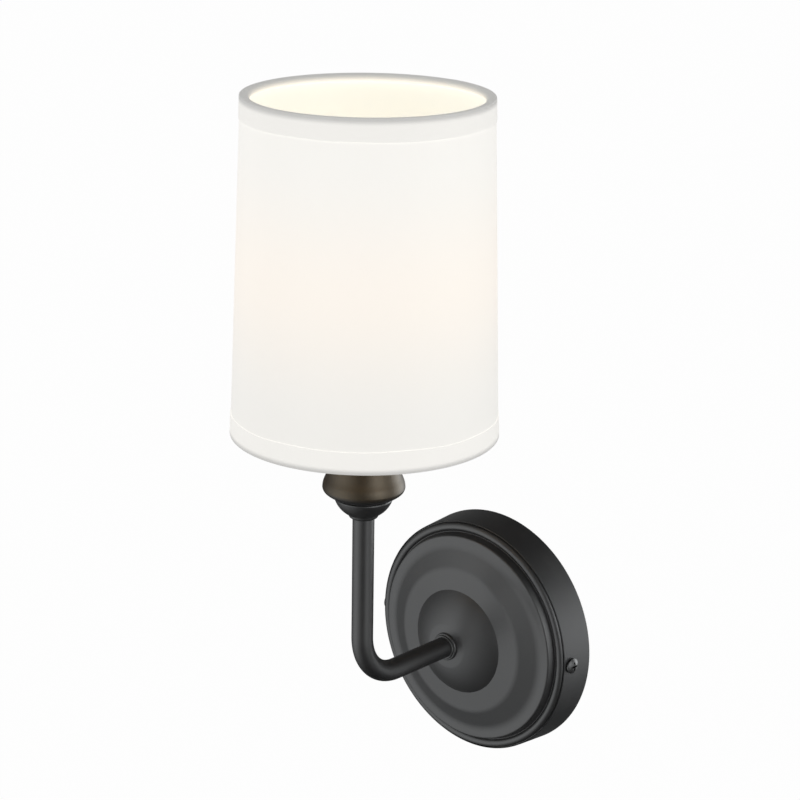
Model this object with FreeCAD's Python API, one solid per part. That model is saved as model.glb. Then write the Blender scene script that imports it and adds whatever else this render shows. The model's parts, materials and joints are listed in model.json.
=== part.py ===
"""Wall light with a fabric drum shade on a bent arm, as separate pieces.

Units are millimetres and +Z is up. The wall is the plane Y = 0 and the light
stands out of it towards -Y. The origin is the centre of the back of the wall
canopy. "Depth" means the distance from the wall, so it is -Y.
"""
import FreeCAD, Part
import os
from math import acos, asin, atan2, cos, hypot, pi, radians, sin, sqrt, tan

Vec = FreeCAD.Vector
X_AXIS, Y_AXIS, Z_AXIS = Vec(1, 0, 0), Vec(0, 1, 0), Vec(0, 0, 1)
ORIGIN = Vec(0, 0, 0)

# ---- fits -----------------------------------------------------------------
SNUG = 0.05                 # radial gap of a bore on the tube or screw it holds
RUNNING = 0.08              # radial gap of a part that slides off another
FREE_GAP = 0.4              # radial gap of loose pieces that must not touch

# ---- wall canopy ----------------------------------------------------------
CANOPY_R = 60.3             # back rim, covers a 4 inch junction box
WALL_DEPTH = 18.0           # depth of the drafted side wall
WALL_DRAFT = 1.3            # how much the side wall draws in over its depth
SHEET = 1.0                 # thickness of the pressed steel
WALL_EDGE = 0.3             # bevel on the front edge of the side wall
CREASE_DROP = 0.6           # depth of the crease between the side wall and the bead
CREASE_WIDTH = 0.7
BEAD_R = 1.9                # section radius of the rounded rim bead
GROOVE_R = 53.5             # middle of the groove inside the bead
GROOVE_WIDTH = 0.7          # floor of that groove
GROOVE_DROP = 2.3           # from the top of the bead to the groove floor
SHOULDER_WIDTH = 0.5        # small flat between the groove and the bead
SHOULDER_RISE = 0.55        # from the groove floor to that flat
LAND_OUTER_R = 51.8         # outer edge of the narrow land inside the groove
LAND_INNER_R = 46.6         # inner edge of that land, foot of the cove
LAND_RISE = 1.2             # how far the land stands above the bead
COVE_RISE = 4.8             # rise of the sloping cove up to the flat ring
RING_OUTER_R = 36.9         # outer edge of the flat ring
RING_INNER_R = 26.8         # inner edge of the flat ring, foot of the dome
LAND_EDGE_REACH = 1.7       # how far the rounding reaches on either side of an edge
COVE_FOOT_REACH = 1.3
RING_EDGE_REACH = 1.5
DOME_FOOT_REACH = 0.7
RING_RISE = 1.2             # rise of the flat ring towards the dome
DOME_R = 39.9               # spherical radius of the central dome
SEAT_R = 8.2                # radius of the recess that takes the arm collar
SEAT_DROP = 1.2             # depth of that recess below the dome

# ---- arm ------------------------------------------------------------------
TUBE_R = 5.15               # outside radius of the bent tube, 1/8 inch lamp pipe
TUBE_WALL = 1.0
ARM_REACH = 98.5            # from the wall to the axis of the upright tube
BEND_R = 23.5               # centre line radius of the bend
COLLAR_R = 7.0              # larger step of the collar on the canopy
COLLAR_HEIGHT = 2.1
COLLAR_STEP_R = 6.1         # smaller step of the collar
COLLAR_STEP_HEIGHT = 0.9
NUT_FLATS = 14.0            # width across flats of both lock nuts
NUT_HEIGHT = 4.0
NUT_CHAMFER = 0.5           # depth of the bevel on a nut's corners
WASHER_R = 8.6
WASHER_THICK = 0.8
WASHER_TEETH = 12
THREAD_PAST_NUT = 2.5       # length of tube that shows past a lock nut
BUSHING_LIP = 1.0           # lip of the wire bushing at the tube's end
BUSHING_LENGTH = 6.0
BUSHING_WALL = 0.8

# ---- socket cup and neck, heights above the arm's centre line --------------
NECK_FOOT_Z = 83.8          # foot of the small neck collar
NECK_HEIGHT = 1.9
NECK_R = 7.2
CUP_WALL = 1.4
LOWER_BULGE_R = 13.6        # widest radius of the lower bulge
LOWER_BULGE_RISE = 7.5      # from its foot to the widest radius
GROOVE_RISE = 1.0           # from there to the groove
CUP_GROOVE = 0.7            # depth of the groove between the two bulges
UPPER_BULGE_R = 19.3        # widest radius of the upper bulge
UPPER_BULGE_RISE = 4.8      # from the groove to the widest radius
UPPER_BULGE_TURN = (1.0, 2.0)   # where its underside turns up, in and down from there
UPPER_BULGE_CLOSE = 4.2     # from the widest radius to the top of the bulge
UPPER_BULGE_TOP_R = 18.35
MOUTH_FOOT_RISE = 3.3       # from there to the foot of the conical mouth
MOUTH_FOOT_R = 17.2
MOUTH_HEIGHT = 5.5
LIP_R = 15.9                # radius of the mouth at its top

# ---- lamp socket ----------------------------------------------------------
HOLDER_R = 16.8             # steel disc that carries the socket
HOLDER_THICK = 1.2
HUB_R = 7.6                 # threaded hub of that disc
HUB_LENGTH = 9.0
BODY_R = 17.2               # moulded body below the shoulder
BODY_LENGTH = 21.0
FLARE = 2.4                 # height of the cone below the shoulder
SHOULDER_R = 23.0           # shoulder that the shade rests on
SHOULDER_THICK = 2.4
SKIRT_R = 19.5              # threaded skirt, 39 mm across
SKIRT_LENGTH = 21.0
SKIRT_THREADS = 6
SKIRT_PITCH = 2.4
THREAD_DEPTH = 0.6
SHELL_R = 13.6              # inside radius of the screw shell, medium base
SHELL_WALL = 0.4
SOCKET_FLOOR = 3.5
SOCKET_FLOOR_RISE = 10.0    # from the body's foot to the underside of its floor
SHELL_FLOOR = 0.6
TONGUE_WIDTH = 7.0
TONGUE_THICK = 0.6
FIXING_SCREW_R = 1.4
FIXING_HEAD_R = 2.6
FIXING_HEAD_HEIGHT = 1.4
FIXING_OFFSET = 10.0        # of the two fixing screws from the axis

# ---- shade ----------------------------------------------------------------
SHADE_BOTTOM_Z = 125.9
SHADE_HEIGHT = 156.0
SHADE_TOP_R = 56.6          # outside of the fabric at the top edge
SHADE_TAPER = 5.0           # how much wider the bottom edge is, on the radius
FABRIC = 0.6
LINER = 0.5
HEM = 10.0                  # height of the tape over each edge
TAPE = 0.3
TUCK = 0.6                  # how far the tape's end runs up the liner past the ring
WIRE_R = 1.5                # rings of the shade frame
ARM_WIRE_R = 1.5            # three arms of the fitter
FITTER_ARMS = 3
FITTER_R = 27.0             # fitter washer
FITTER_HOLE_R = 20.5
FITTER_THICK = 1.2
RING_NUT_R = 24.0
RING_NUT_HEIGHT = 5.0
RING_NUT_RIBS = 24

# ---- bulb -----------------------------------------------------------------
BULB_LENGTH = 104.0
BULB_R = 17.5
BULB_NECK_R = 12.6
BULB_TIP_R = 3.0
BULB_SWELL = 30.0           # from the cap to the widest place of the glass
BULB_NOSE = 22.0            # length of the pointed end
CAP_R = 13.1                # medium base cap over its threads
CAP_LENGTH = 22.0
CAP_THREADS = 4
CAP_PITCH = 3.6
INSULATOR_HEIGHT = 3.8
CONTACT_R = 4.6
CONTACT_HEIGHT = 1.4
GLASS_WALL = 1.0

# ---- wall strap and screws ------------------------------------------------
STRAP_WIDTH = 20.0
STRAP_THICK = 1.6
STRAP_GAP = 0.3             # between the strap's ears and the canopy
EAR_WIDTH = 14.0
EAR_DEPTH = 16.2
SLOT_NEAR = 34.9            # centre of a box screw at 2 3/4 inch spacing
SLOT_FAR = 44.5             # centre of a box screw at 3 1/2 inch spacing
SLOT_HALF = 2.2
STRAP_HOLE_R = 6.5
GROUND_X = 18.0
GROUND_R = 2.4
GROUND_HEAD_FLATS = 8.0
GROUND_HEAD_HEIGHT = 3.0
SIDE_SCREW_DEPTH = 13.0     # depth of the side screws from the wall
SIDE_SCREW_R = 2.0
SIDE_SCREW_LENGTH = 8.0
SIDE_HEAD_R = 3.8
SIDE_HEAD_HEIGHT = 2.0
CROSS_WIDTH = 1.0
CROSS_SPAN = 4.4
CROSS_DEPTH = 1.3


# ---- profiles and simple solids --------------------------------------------
def heading(start, end):
    """Direction from one place to another, of length one."""
    run, rise = end[0] - start[0], end[1] - start[1]
    length = hypot(run, rise)
    return run / length, rise / length


class Outline:
    """A closed outline in (radius, height), drawn edge by edge."""

    def __init__(self, radius, height):
        self.start = self.here = (radius, height)
        self.edges = []

    @staticmethod
    def _point(place):
        return Vec(place[0], 0, place[1])

    def line(self, radius, height):
        there = (radius, height)
        if hypot(there[0] - self.here[0], there[1] - self.here[1]) > 1e-6:
            self.edges.append(Part.LineSegment(self._point(self.here), self._point(there)).toShape())
            self.here = there
        return self

    def arc(self, middle, end):
        places = [self._point(place) for place in (self.here, middle, end)]
        self.edges.append(Part.Arc(*places).toShape())
        self.here = end
        return self

    def bulge(self, end, sagitta):
        """Arc to `end` whose middle stands `sagitta` to the left of the chord."""
        run, rise = end[0] - self.here[0], end[1] - self.here[1]
        chord = hypot(run, rise)
        middle = ((self.here[0] + end[0]) / 2 - rise / chord * sagitta,
                  (self.here[1] + end[1]) / 2 + run / chord * sagitta)
        return self.arc(middle, end)

    def rounded(self, corner, end, reach):
        """Line towards a corner, then an arc past it that heads for `end`."""
        come, go = heading(self.here, corner), heading(corner, end)
        half_turn = acos(come[0] * go[0] + come[1] * go[1]) / 2
        inward = heading(come, go)
        depth = reach * tan(half_turn / 2)
        self.line(corner[0] - reach * come[0], corner[1] - reach * come[1])
        return self.arc((corner[0] + depth * inward[0], corner[1] + depth * inward[1]),
                        (corner[0] + reach * go[0], corner[1] + reach * go[1]))

    def cap(self, top):
        """Spherical cap from here to the axis."""
        radius, foot = self.here
        rise = top - foot
        sphere = (radius ** 2 + rise ** 2) / (2 * rise)
        half_turn = asin(radius / sphere) / 2
        middle = (sphere * sin(half_turn), top - sphere * (1 - cos(half_turn)))
        return self.arc(middle, (0, top))

    def face(self):
        self.line(*self.start)
        return Part.Face(Part.Wire(self.edges))

    def revolved(self):
        return self.face().revolve(ORIGIN, Z_AXIS, 360)


def facing_out(shape):
    """Turn a solid made about +Z so that its +Z points away from the wall."""
    turned = shape.copy()
    turned.rotate(ORIGIN, X_AXIS, 90)
    return turned


def on_lamp_axis(shape):
    """Move a solid made about Z onto the axis of the upright tube."""
    return shape.translated(Vec(0, -ARM_REACH, 0))


def tube(outer, inner, low, high):
    ring = Outline(inner, low).line(outer, low).line(outer, high).line(inner, high)
    return ring.revolved()


def rod(radius, low, high):
    return Part.makeCylinder(radius, high - low, Vec(0, 0, low))


def hexagon(flats, bore, low, high):
    corner = flats / sqrt(3)
    points = [Vec(corner * cos(radians(60 * i)), corner * sin(radians(60 * i)), low)
              for i in range(7)]
    block = Part.Face(Part.makePolygon(points)).extrude(Vec(0, 0, high - low))
    crown = Outline(0, low).line(corner, low).line(corner, high - NUT_CHAMFER)
    crown.line(corner - 2 * NUT_CHAMFER, high).line(0, high)
    nut = block.common(crown.revolved())
    return nut.cut(rod(bore, low - 1, high + 1)) if bore else nut


def threaded_side(outline, radius, root, first, pitch, turns):
    """Continue an outline upwards along ridges that stand for a thread."""
    for turn in range(turns):
        foot = first + turn * pitch
        outline.line(root, foot)
        outline.line(radius, foot + pitch * 0.35)
        outline.line(radius, foot + pitch * 0.55)
        outline.line(root, foot + pitch * 0.9)
    return outline


# ---- derived places --------------------------------------------------------
WALL_TOP_R = CANOPY_R - WALL_DRAFT
BEAD_CENTRE = (WALL_TOP_R - CREASE_WIDTH * 0.3 - BEAD_R, WALL_DEPTH + BEAD_R * 0.75)
BEAD_TOP = BEAD_CENTRE[1] + BEAD_R
GROOVE_DEPTH = BEAD_TOP - GROOVE_DROP
LAND_DEPTH = BEAD_TOP + LAND_RISE
RING_DEPTH = LAND_DEPTH + COVE_RISE
DOME_FOOT = RING_DEPTH + RING_RISE
DOME_CENTRE = DOME_FOOT - sqrt(DOME_R ** 2 - RING_INNER_R ** 2)


def dome_depth(radius, inset=0):
    """Depth of the dome's face at a radius, or of a face set back from it."""
    return DOME_CENTRE + sqrt((DOME_R - inset) ** 2 - radius ** 2)


SEAT_DEPTH = dome_depth(SEAT_R) - SEAT_DROP
SEAT_BACK = SEAT_DEPTH - SHEET - 0.2
TUBE_BACK = SEAT_BACK - WASHER_THICK - NUT_HEIGHT - THREAD_PAST_NUT

CUP_FOOT_Z = NECK_FOOT_Z + NECK_HEIGHT
LOWER_BULGE_Z = CUP_FOOT_Z + LOWER_BULGE_RISE
CUP_GROOVE_Z = LOWER_BULGE_Z + GROOVE_RISE
CUP_WIDEST_Z = CUP_GROOVE_Z + UPPER_BULGE_RISE
UPPER_BULGE_TOP_Z = CUP_WIDEST_Z + UPPER_BULGE_CLOSE
MOUTH_FOOT_Z = UPPER_BULGE_TOP_Z + MOUTH_FOOT_RISE
LIP_Z = MOUTH_FOOT_Z + MOUTH_HEIGHT
CUP_FLOOR_Z = CUP_FOOT_Z + CUP_WALL + 1.2
BODY_FOOT_Z = LIP_Z + HOLDER_THICK
SHOULDER_FOOT_Z = BODY_FOOT_Z + BODY_LENGTH + FLARE
SEAT_Z = SHOULDER_FOOT_Z + SHOULDER_THICK
SKIRT_TOP_Z = SEAT_Z + SKIRT_LENGTH
SOCKET_FLOOR_Z = BODY_FOOT_Z + SOCKET_FLOOR_RISE
SHELL_FOOT_Z = SOCKET_FLOOR_Z + SOCKET_FLOOR
TUBE_TOP_Z = LIP_Z - 2.0
FITTER_TOP_Z = SEAT_Z + FITTER_THICK

SHADE_TOP_Z = SHADE_BOTTOM_Z + SHADE_HEIGHT
SHADE_BOTTOM_R = SHADE_TOP_R + SHADE_TAPER
SHADE_SLOPE = (SHADE_TOP_R - SHADE_BOTTOM_R) / SHADE_HEIGHT
TOP_WIRE_Z = SHADE_TOP_Z - WIRE_R - TAPE
BOTTOM_WIRE_Z = SHADE_BOTTOM_Z + WIRE_R + TAPE

TONGUE_TOP_Z = SHELL_FOOT_Z + SHELL_FLOOR + 3.0
BULB_FOOT_Z = TONGUE_TOP_Z
CAP_FOOT_Z = BULB_FOOT_Z + CONTACT_HEIGHT + INSULATOR_HEIGHT
CAP_TOP_Z = CAP_FOOT_Z + CAP_LENGTH
BULB_TOP_Z = BULB_FOOT_Z + BULB_LENGTH


def wall_radius(depth):
    """Outside radius of the canopy's side wall at a depth."""
    return CANOPY_R - WALL_DRAFT * depth / WALL_DEPTH


def shade_radius(height):
    """Outside radius of the fabric at a height."""
    return SHADE_BOTTOM_R + SHADE_SLOPE * (height - SHADE_BOTTOM_Z)


def liner_radius(height):
    """Inside radius of the liner at a height."""
    return shade_radius(height) - FABRIC - LINER


# ---- canopy ----------------------------------------------------------------
def behind(before, corner, after, reach):
    """Corner of the sheet's back opposite a corner of its face, and the reach of its rounding."""
    come, go = heading(before, corner), heading(corner, after)
    share = SHEET / (1 + come[0] * go[0] + come[1] * go[1])
    bend = come[0] * go[1] - come[1] * go[0]
    back = (corner[0] - share * (come[1] + go[1]), corner[1] + share * (come[0] + go[0]))
    return back, reach - share * bend


def wall_canopy():
    """Pressed steel canopy: side wall, bead, groove, land, cove, ring and dome."""
    bead_r, bead_d = BEAD_CENTRE

    def on_bead(radius, angle):
        turn = radians(angle)
        return bead_r + radius * cos(turn), bead_d + radius * sin(turn)

    shoulder = (GROOVE_R + GROOVE_WIDTH / 2 + SHOULDER_RISE, GROOVE_DEPTH + SHOULDER_RISE)
    groove_out = (GROOVE_R + GROOVE_WIDTH / 2, GROOVE_DEPTH)
    groove_in = (GROOVE_R - GROOVE_WIDTH / 2, GROOVE_DEPTH)
    land_out, land_in = (LAND_OUTER_R, LAND_DEPTH), (LAND_INNER_R, LAND_DEPTH)
    ring_out, ring_in = (RING_OUTER_R, RING_DEPTH), (RING_INNER_R, DOME_FOOT)

    skin = Outline(CANOPY_R, 0).line(WALL_TOP_R, WALL_DEPTH - WALL_EDGE)
    skin.line(WALL_TOP_R - WALL_EDGE, WALL_DEPTH)
    skin.line(WALL_TOP_R - CREASE_WIDTH, WALL_DEPTH - CREASE_DROP)
    skin.line(*on_bead(BEAD_R, -45)).arc(on_bead(BEAD_R, 60), on_bead(BEAD_R, 168))
    skin.line(shoulder[0] + SHOULDER_WIDTH, shoulder[1] + 0.1).line(*shoulder)
    skin.line(*groove_out).line(*groove_in)
    skin.rounded(land_out, land_in, LAND_EDGE_REACH)
    skin.rounded(land_in, ring_out, COVE_FOOT_REACH)
    skin.rounded(ring_out, ring_in, RING_EDGE_REACH)
    along = heading(ring_in, ring_out)
    skin.line(RING_INNER_R + DOME_FOOT_REACH * along[0], DOME_FOOT + DOME_FOOT_REACH * along[1])
    foot_r = RING_INNER_R - DOME_FOOT_REACH
    mid_r = (foot_r + SEAT_R) / 2
    skin.bulge((foot_r, dome_depth(foot_r)), DOME_FOOT_REACH / 6)
    skin.arc((mid_r, dome_depth(mid_r)), (SEAT_R, dome_depth(SEAT_R)))
    skin.line(SEAT_R, SEAT_DEPTH).line(TUBE_R + SNUG, SEAT_DEPTH)
    # back of the sheet, from the hole outwards
    flat_r = sqrt((DOME_R - SHEET) ** 2 - (SEAT_BACK - DOME_CENTRE) ** 2)
    foot_r = RING_INNER_R - SHEET / 2
    skin.line(TUBE_R + SNUG, SEAT_BACK).line(flat_r, SEAT_BACK)
    mid_r = (flat_r + foot_r) / 2
    skin.arc((mid_r, dome_depth(mid_r, SHEET)), (foot_r, dome_depth(foot_r, SHEET)))
    ring_back, ring_reach = behind(land_in, ring_out, ring_in, RING_EDGE_REACH)
    cove_back, cove_reach = behind(land_out, land_in, ring_out, COVE_FOOT_REACH)
    land_back, land_reach = behind(groove_in, land_out, land_in, LAND_EDGE_REACH)
    groove_back = behind(groove_out, groove_in, land_out, 0)[0]
    outer_back = behind(shoulder, groove_out, groove_in, 0)[0]
    skin.line(foot_r, DOME_FOOT - SHEET).rounded(ring_back, cove_back, ring_reach)
    skin.rounded(cove_back, land_back, cove_reach).rounded(land_back, groove_back, land_reach)
    skin.line(*groove_back).line(*outer_back)
    skin.line(*on_bead(BEAD_R - SHEET, 180))
    skin.arc(on_bead(BEAD_R - SHEET, 90), on_bead(BEAD_R - SHEET, 0))
    # the crease is pressed in, so the back steps in behind it
    step_r = WALL_TOP_R - CREASE_WIDTH - SHEET
    wall_back = WALL_DEPTH - CREASE_DROP - SHEET
    skin.line(step_r, WALL_DEPTH - CREASE_DROP / 2).line(step_r, WALL_DEPTH - SHEET)
    skin.line(wall_radius(wall_back) - SHEET, wall_back).line(CANOPY_R - SHEET, 0)
    canopy = facing_out(skin.revolved())
    reach = CANOPY_R + 10
    hole = Part.makeCylinder(SIDE_SCREW_R + FREE_GAP, 2 * reach,
                             Vec(-reach, -SIDE_SCREW_DEPTH, 0), X_AXIS)
    return canopy.cut(hole)


def mounting_strap():
    """Flat strap on the wall with an ear turned up at each end for a side screw."""
    ear_x = wall_radius(EAR_DEPTH) - SHEET - STRAP_GAP
    ear_x -= ear_x - sqrt(ear_x ** 2 - (EAR_WIDTH / 2) ** 2)
    bend = STRAP_THICK * 2
    section = Outline(0, 0).line(ear_x - bend, 0)
    diagonal = sin(radians(45))
    section.arc((ear_x - bend + bend * diagonal, bend - bend * diagonal), (ear_x, bend))
    section.line(ear_x, EAR_DEPTH).line(ear_x - STRAP_THICK, EAR_DEPTH)
    section.line(ear_x - STRAP_THICK, bend)
    inner = bend - STRAP_THICK
    section.arc((ear_x - bend + inner * diagonal, bend - inner * diagonal),
                (ear_x - bend, STRAP_THICK))
    section.line(0, STRAP_THICK)
    half = section.face().extrude(Vec(0, STRAP_WIDTH, 0)).translated(Vec(0, -STRAP_WIDTH / 2, 0))
    # the ears are narrower than the strap
    margin = (STRAP_WIDTH - EAR_WIDTH) / 2
    for side in (-1, 1):
        low = EAR_WIDTH / 2 if side > 0 else -STRAP_WIDTH / 2
        trim = Part.makeBox(bend + 1, margin, EAR_DEPTH + 1, Vec(ear_x - bend, low, -0.5))
        half = half.cut(trim)
    ear_hole = Part.makeCylinder(SIDE_SCREW_R + SNUG, 10, Vec(ear_x - 5, 0, SIDE_SCREW_DEPTH), X_AXIS)
    half = half.cut(ear_hole)
    slot = Part.makeBox(SLOT_FAR - SLOT_NEAR, 2 * SLOT_HALF, 6, Vec(SLOT_NEAR, -SLOT_HALF, -2))
    for centre in (SLOT_NEAR, SLOT_FAR):
        slot = slot.fuse(Part.makeCylinder(SLOT_HALF, 6, Vec(centre, 0, -2)))
    half = half.cut(slot)
    other = half.copy()
    other.rotate(ORIGIN, Z_AXIS, 180)
    strap = half.fuse(other).removeSplitter()
    strap = strap.cut(Part.makeCylinder(STRAP_HOLE_R, 6, Vec(0, 0, -2)))
    strap = strap.cut(Part.makeCylinder(GROUND_R + SNUG, 6, Vec(GROUND_X, 0, -2)))
    return facing_out(strap)


def ground_screw():
    """Hexagon washer-head screw in the strap for the earth wire."""
    flange = rod(GROUND_HEAD_FLATS * 0.65, STRAP_THICK, STRAP_THICK + 0.8)
    head_foot = STRAP_THICK + 0.8
    head = hexagon(GROUND_HEAD_FLATS, 0, head_foot, head_foot + GROUND_HEAD_HEIGHT)
    slot = Part.makeBox(GROUND_HEAD_FLATS + 2, 1.0, 1.0,
                        Vec(-GROUND_HEAD_FLATS / 2 - 1, -0.5, head_foot + GROUND_HEAD_HEIGHT - 1.0))
    screw = rod(GROUND_R, 0, STRAP_THICK).fuse(flange).fuse(head).cut(slot).removeSplitter()
    return facing_out(screw.translated(Vec(GROUND_X, 0, 0)))


def side_screw(side):
    """Pan-head cross-recess screw through the canopy into an ear of the strap."""
    seat = wall_radius(SIDE_SCREW_DEPTH - SIDE_HEAD_R) + 0.05
    shank_start = seat - SIDE_SCREW_LENGTH
    edge = 0.7
    pan = Outline(0, shank_start).line(SIDE_SCREW_R - 0.5, shank_start)
    pan.line(SIDE_SCREW_R, shank_start + 0.5).line(SIDE_SCREW_R, seat)
    pan.line(SIDE_HEAD_R, seat).line(SIDE_HEAD_R, seat + edge)
    pan.cap(seat + SIDE_HEAD_HEIGHT)
    screw = pan.revolved()
    top = seat + SIDE_HEAD_HEIGHT
    for turn in (0, 90):
        blade = Part.makeBox(CROSS_SPAN, CROSS_WIDTH, CROSS_DEPTH + 1,
                             Vec(-CROSS_SPAN / 2, -CROSS_WIDTH / 2, top - CROSS_DEPTH))
        blade.rotate(ORIGIN, Z_AXIS, turn)
        screw = screw.cut(blade)
    screw.rotate(ORIGIN, Y_AXIS, 90 * side)
    return screw.translated(Vec(0, -SIDE_SCREW_DEPTH, 0))


# ---- arm -------------------------------------------------------------------
def swept_arm(radius, back, top):
    """Round bar along the arm: out of the wall, round the bend and up."""
    foot = Vec(0, -back, 0)
    bend_start = Vec(0, -(ARM_REACH - BEND_R), 0)
    diagonal = BEND_R * sin(radians(45))
    bend_middle = Vec(0, -(ARM_REACH - BEND_R) - diagonal, BEND_R - diagonal)
    bend_end = Vec(0, -ARM_REACH, BEND_R)
    path = Part.Wire([Part.LineSegment(foot, bend_start).toShape(),
                      Part.Arc(bend_start, bend_middle, bend_end).toShape(),
                      Part.LineSegment(bend_end, Vec(0, -ARM_REACH, top)).toShape()])
    section = Part.Wire(Part.Circle(foot, Y_AXIS, radius).toShape())
    return path.makePipeShell([section], True, True)


def arm_tube():
    """Bent tube, open from end to end for the wires."""
    outer = swept_arm(TUBE_R, TUBE_BACK, TUBE_TOP_Z)
    inner = swept_arm(TUBE_R - TUBE_WALL, TUBE_BACK - 1, TUBE_TOP_Z + 1)
    return outer.cut(inner)


def arm_collar():
    """Two-step turned collar that closes the hole in the canopy."""
    top = SEAT_DEPTH + COLLAR_HEIGHT
    ring = Outline(TUBE_R + SNUG, SEAT_DEPTH).line(COLLAR_R, SEAT_DEPTH)
    ring.line(COLLAR_R, top - 0.7).bulge((COLLAR_R - 0.7, top), -0.2)
    ring.line(COLLAR_STEP_R, top).line(COLLAR_STEP_R, top + COLLAR_STEP_HEIGHT - 0.5)
    ring.bulge((COLLAR_STEP_R - 0.5, top + COLLAR_STEP_HEIGHT), -0.15)
    ring.line(TUBE_R + SNUG, top + COLLAR_STEP_HEIGHT)
    return facing_out(ring.revolved())


def lock_washer():
    """Internal-tooth washer between the canopy and its nut."""
    low = SEAT_BACK - WASHER_THICK
    washer = tube(WASHER_R, TUBE_R + SNUG, low, SEAT_BACK)
    for tooth in range(WASHER_TEETH):
        notch = Part.makeBox(1.6, 1.0, 2 * WASHER_THICK, Vec(TUBE_R - 0.2, -0.5, low - 0.4))
        notch.rotate(ORIGIN, Z_AXIS, 360 * tooth / WASHER_TEETH)
        washer = washer.cut(notch)
    return facing_out(washer)


def canopy_nut():
    nut = hexagon(NUT_FLATS, TUBE_R + SNUG, 0, NUT_HEIGHT)
    nut.rotate(ORIGIN, X_AXIS, 180)
    return facing_out(nut.translated(Vec(0, 0, SEAT_BACK - WASHER_THICK)))


def wire_bushing():
    """Plastic bushing that keeps the wires off the tube's cut end."""
    inner = TUBE_R - TUBE_WALL
    lip_r = TUBE_R - 0.2
    sleeve = Outline(inner - BUSHING_WALL, TUBE_BACK - BUSHING_LIP)
    sleeve.line(lip_r - 0.4, TUBE_BACK - BUSHING_LIP).line(lip_r, TUBE_BACK - BUSHING_LIP + 0.4)
    sleeve.line(lip_r, TUBE_BACK).line(inner - SNUG, TUBE_BACK)
    sleeve.line(inner - SNUG, TUBE_BACK + BUSHING_LENGTH)
    sleeve.line(inner - BUSHING_WALL, TUBE_BACK + BUSHING_LENGTH)
    return facing_out(sleeve.revolved())


# ---- cup and socket --------------------------------------------------------
def neck_collar():
    """Small turned collar under the cup."""
    bore = TUBE_R + SNUG
    ring = Outline(bore, NECK_FOOT_Z).line(TUBE_R + 0.5, NECK_FOOT_Z)
    ring.bulge((NECK_R - 0.2, CUP_FOOT_Z - 0.7), -0.25).line(NECK_R, CUP_FOOT_Z)
    return on_lamp_axis(ring.line(bore, CUP_FOOT_Z).revolved())


def socket_cup():
    """Turned cup of two bulges with a groove between them and a conical mouth."""
    bore = TUBE_R + SNUG
    groove_r = LOWER_BULGE_R - CUP_GROOVE
    edge = CUP_GROOVE / 2
    cup = Outline(bore, CUP_FOOT_Z).line(NECK_R + 0.1, CUP_FOOT_Z)
    cup.bulge((LOWER_BULGE_R, LOWER_BULGE_Z), -0.95)
    cup.bulge((groove_r, CUP_GROOVE_Z - 0.1), -0.25).line(groove_r, CUP_GROOVE_Z + 0.1)
    cup.line(LOWER_BULGE_R, CUP_GROOVE_Z + edge)
    cup.bulge((UPPER_BULGE_R - UPPER_BULGE_TURN[0], CUP_WIDEST_Z - UPPER_BULGE_TURN[1]), -0.35)
    cup.bulge((UPPER_BULGE_R, CUP_WIDEST_Z), -0.19)
    cup.bulge((UPPER_BULGE_TOP_R, UPPER_BULGE_TOP_Z), -0.24)
    cup.bulge((MOUTH_FOOT_R, MOUTH_FOOT_Z), 0.08).line(LIP_R, LIP_Z)
    cup.line(LIP_R - CUP_WALL, LIP_Z).line(MOUTH_FOOT_R - CUP_WALL, MOUTH_FOOT_Z)
    cup.bulge((UPPER_BULGE_R - CUP_WALL, CUP_WIDEST_Z), 0.2)
    cup.bulge((groove_r - CUP_WALL, CUP_GROOVE_Z + CUP_WALL), 0.9)
    cup.line(groove_r - CUP_WALL, CUP_GROOVE_Z - 0.6)
    cup.bulge((NECK_R + CUP_WALL, CUP_FLOOR_Z), 0.8).line(bore, CUP_FLOOR_Z)
    return on_lamp_axis(cup.revolved())


def cup_nut():
    return on_lamp_axis(hexagon(NUT_FLATS, TUBE_R + SNUG, CUP_FLOOR_Z, CUP_FLOOR_Z + NUT_HEIGHT))


def socket_holder():
    """Steel disc with a threaded hub, screwed onto the top of the tube."""
    bore = TUBE_R + SNUG
    hub_foot = LIP_Z - HUB_LENGTH
    disc = Outline(bore, hub_foot).line(HUB_R, hub_foot).line(HUB_R, LIP_Z)
    disc.line(HOLDER_R, LIP_Z).line(HOLDER_R, BODY_FOOT_Z).line(bore, BODY_FOOT_Z)
    holder = disc.revolved()
    for side in (-1, 1):
        holder = holder.cut(Part.makeCylinder(FIXING_SCREW_R + SNUG, 10,
                                              Vec(side * FIXING_OFFSET, 0, LIP_Z - 4)))
    return on_lamp_axis(holder)


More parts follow.
